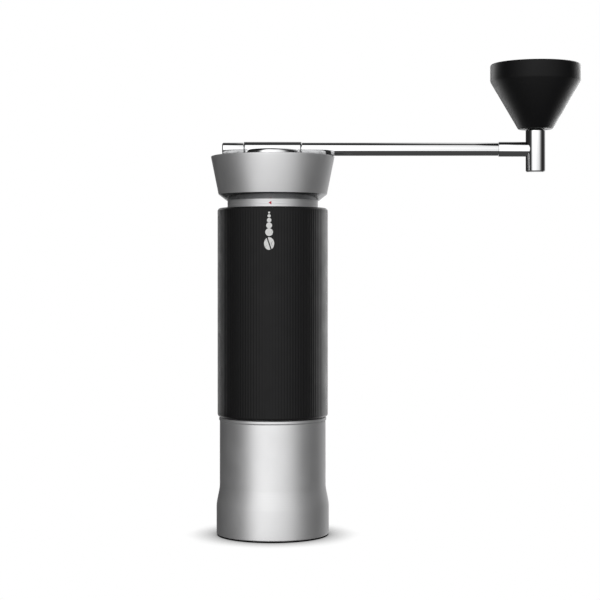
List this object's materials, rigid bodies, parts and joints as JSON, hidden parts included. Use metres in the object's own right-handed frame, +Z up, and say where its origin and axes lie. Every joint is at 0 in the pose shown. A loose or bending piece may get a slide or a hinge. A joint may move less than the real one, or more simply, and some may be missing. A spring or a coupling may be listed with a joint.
{
  "type": "hand crank coffee grinder",
  "caption": "Slim upright hand coffee grinder: ribbed grip, flared adjusting dial with lid, lift-off crank with a cone knob, conical burrs and a pull-off catch cup.",
  "frame": {"origin": "centre of the foot pad's underside, on the grinder's axis", "axes": "+Z up along the grinder's axis; +X towards the knob, with the crank at rest; +Y towards the back"},
  "size_m": [0.1875, 0.0626, 0.2385],
  "materials": {
    "aluminium": "satin turned, clear anodised",
    "chrome": "polished",
    "steel": "plain machined",
    "burr_steel": "ground and hardened",
    "brass": "turned",
    "magnet": "nickel plated",
    "grip_rubber": "matte, fine upright ribs",
    "silicone": "matte",
    "knob_plastic": "soft matte"
  },
  "bodies": {
    "barrel": {"body_tube": "aluminium", "grip_sleeve": "grip_rubber", "burr_housing": "aluminium", "outer_burr": "burr_steel", "lower_bridge": "aluminium", "lower_bearing_outer_race": "steel", "preload_spring": "steel", "carrier_guide_pin": "steel", "cup_magnet_1": "magnet", "cup_magnet_2": "magnet", "cup_magnet_3": "magnet", "cup_magnet_4": "magnet", "burr_grub_screw_1": "steel", "burr_grub_screw_2": "steel", "burr_grub_screw_3": "steel", "bridge_screw_1": "steel", "bridge_screw_2": "steel", "bridge_screw_3": "steel"},
    "lower_race": {"lower_bearing_inner_race": "steel", "lower_bearing_cage": "steel"},
    "carrier": {"bearing_carrier": "aluminium", "upper_bearing_outer_race": "steel", "thrust_washer": "brass"},
    "dial": {"dial_ring": "aluminium", "detent_ball_1": "steel", "detent_ball_2": "steel", "detent_ball_3": "steel", "detent_spring_1": "steel", "detent_spring_2": "steel", "detent_spring_3": "steel", "detent_screw_1": "steel", "detent_screw_2": "steel", "detent_screw_3": "steel"},
    "drive_shaft": {"shaft": "steel", "inner_burr": "burr_steel", "burr_drive_pin": "steel", "burr_washer": "steel", "burr_nut": "steel", "shaft_circlip_lower": "steel", "shaft_circlip_upper": "steel", "spring_collar": "steel", "upper_bearing_inner_race": "steel", "upper_bearing_cage": "steel"},
    "crank": {"crank_hub": "chrome", "crank_arm": "chrome", "arm_tail_nut": "chrome", "knob_post": "chrome", "knob_washer": "steel", "knob_screw": "steel", "lid_clip": "steel"},
    "lid": {"lid_plate": "aluminium", "lid_seal": "silicone"},
    "knob": {"knob_shell": "knob_plastic", "knob_cap": "knob_plastic", "knob_bush_lower": "brass", "knob_bush_upper": "brass"},
    "cup": {"cup_shell": "aluminium", "cup_keeper_ring": "steel", "foot_pad": "silicone"}
  },
  "joints": [
    {"name": "burr_gap", "type": "slide", "parent": "barrel", "child": "carrier", "axis": [0, 0, 1], "range_m": [-0.001, 0.00034], "deforming": ["preload_spring"]},
    {"name": "dial_turn", "type": "hinge", "parent": "carrier", "child": "dial", "pos_m": [0, 0, 0.18], "axis": [0, 0, 1], "range_deg": [-120, 360]},
    {"name": "crank_turn", "type": "hinge", "parent": "carrier", "child": "drive_shaft", "pos_m": [0, 0, 0.12], "axis": [0, 0, 1], "continuous": true},
    {"name": "lower_race_turn", "type": "hinge", "parent": "barrel", "child": "lower_race", "pos_m": [0, 0, 0.098], "axis": [0, 0, 1], "continuous": true},
    {"name": "crank_lift", "type": "slide", "parent": "drive_shaft", "child": "crank", "axis": [0, 0, 1], "range_m": [0, 0.06]},
    {"name": "lid_turn", "type": "hinge", "parent": "crank", "child": "lid", "pos_m": [0, 0, 0.189], "axis": [0, 0, 1], "continuous": true},
    {"name": "knob_turn", "type": "hinge", "parent": "crank", "child": "knob", "pos_m": [0.13345, 0, 0.216], "axis": [0, 0, 1], "continuous": true},
    {"name": "cup_pull", "type": "slide", "parent": "barrel", "child": "cup", "axis": [0, 0, 1], "range_m": [-0.065, 0]}
  ],
  "couplings": [
    {"joint": "burr_gap", "follows": "dial_turn", "m_per_rad": -0.00015915},
    {"joint": "lower_race_turn", "follows": "crank_turn", "ratio": 1},
    {"joint": "lid_turn", "follows": "crank_turn", "ratio": -1}
  ]
}
